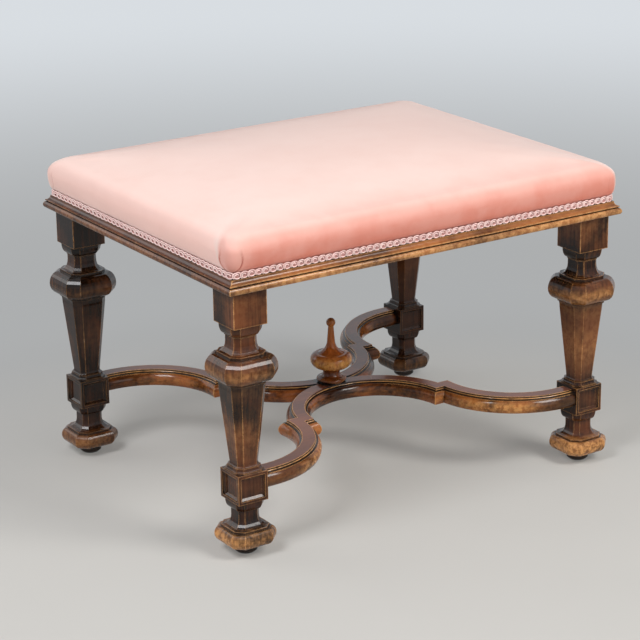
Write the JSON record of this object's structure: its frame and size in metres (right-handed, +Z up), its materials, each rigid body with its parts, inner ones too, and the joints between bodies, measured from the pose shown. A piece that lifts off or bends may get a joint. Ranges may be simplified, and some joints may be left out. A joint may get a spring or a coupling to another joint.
{
  "type": "dressing stool",
  "caption": "Oblong stool with a stuffed velvet seat edged in braid, faceted baluster legs and a curved cross stretcher that carries a turned finial.",
  "frame": {"origin": "on the floor, below the middle of the seat", "axes": "+X along the long sides of the seat, -Y to the front, +Z up"},
  "size_m": [0.6654, 0.5296, 0.4748],
  "materials": {
    "leg_wood": "polished dark stain",
    "pad_wood": "dark stain",
    "stretcher_wood": "polished dark stain",
    "finial_wood": "polished stain",
    "rail_wood": "polished, worn",
    "inner_wood": "bare",
    "webbing": "woven jute",
    "hessian": "woven jute",
    "stuffing": "fibre",
    "velvet": "short pile",
    "braid": "scroll braid",
    "tack_iron": "blued"
  },
  "bodies": {
    "root": {"leg_front_left": "leg_wood", "pad_front_left": "pad_wood", "stretcher_arm_front_left": "stretcher_wood", "mitre_tongue_front_left": "inner_wood", "leg_front_right": "leg_wood", "pad_front_right": "pad_wood", "stretcher_arm_front_right": "stretcher_wood", "mitre_tongue_front_right": "inner_wood", "leg_back_left": "leg_wood", "pad_back_left": "pad_wood", "stretcher_arm_back_left": "stretcher_wood", "mitre_tongue_back_left": "inner_wood", "leg_back_right": "leg_wood", "pad_back_right": "pad_wood", "stretcher_arm_back_right": "stretcher_wood", "mitre_tongue_back_right": "inner_wood", "stretcher_hub": "stretcher_wood", "stretcher_dowels": "inner_wood", "finial": "finial_wood", "rail_front": "rail_wood", "rail_back": "rail_wood", "rail_left": "rail_wood", "rail_right": "rail_wood", "webbing_long_1": "webbing", "webbing_long_2": "webbing", "webbing_long_3": "webbing", "webbing_cross_1": "webbing", "webbing_cross_2": "webbing", "webbing_cross_3": "webbing", "webbing_cross_4": "webbing", "webbing_cross_5": "webbing", "webbing_tacks": "tack_iron", "hessian": "hessian", "stuffing": "stuffing", "cover": "velvet", "cover_tacks": "tack_iron", "gimp": "braid"}
  },
  "joints": []
}
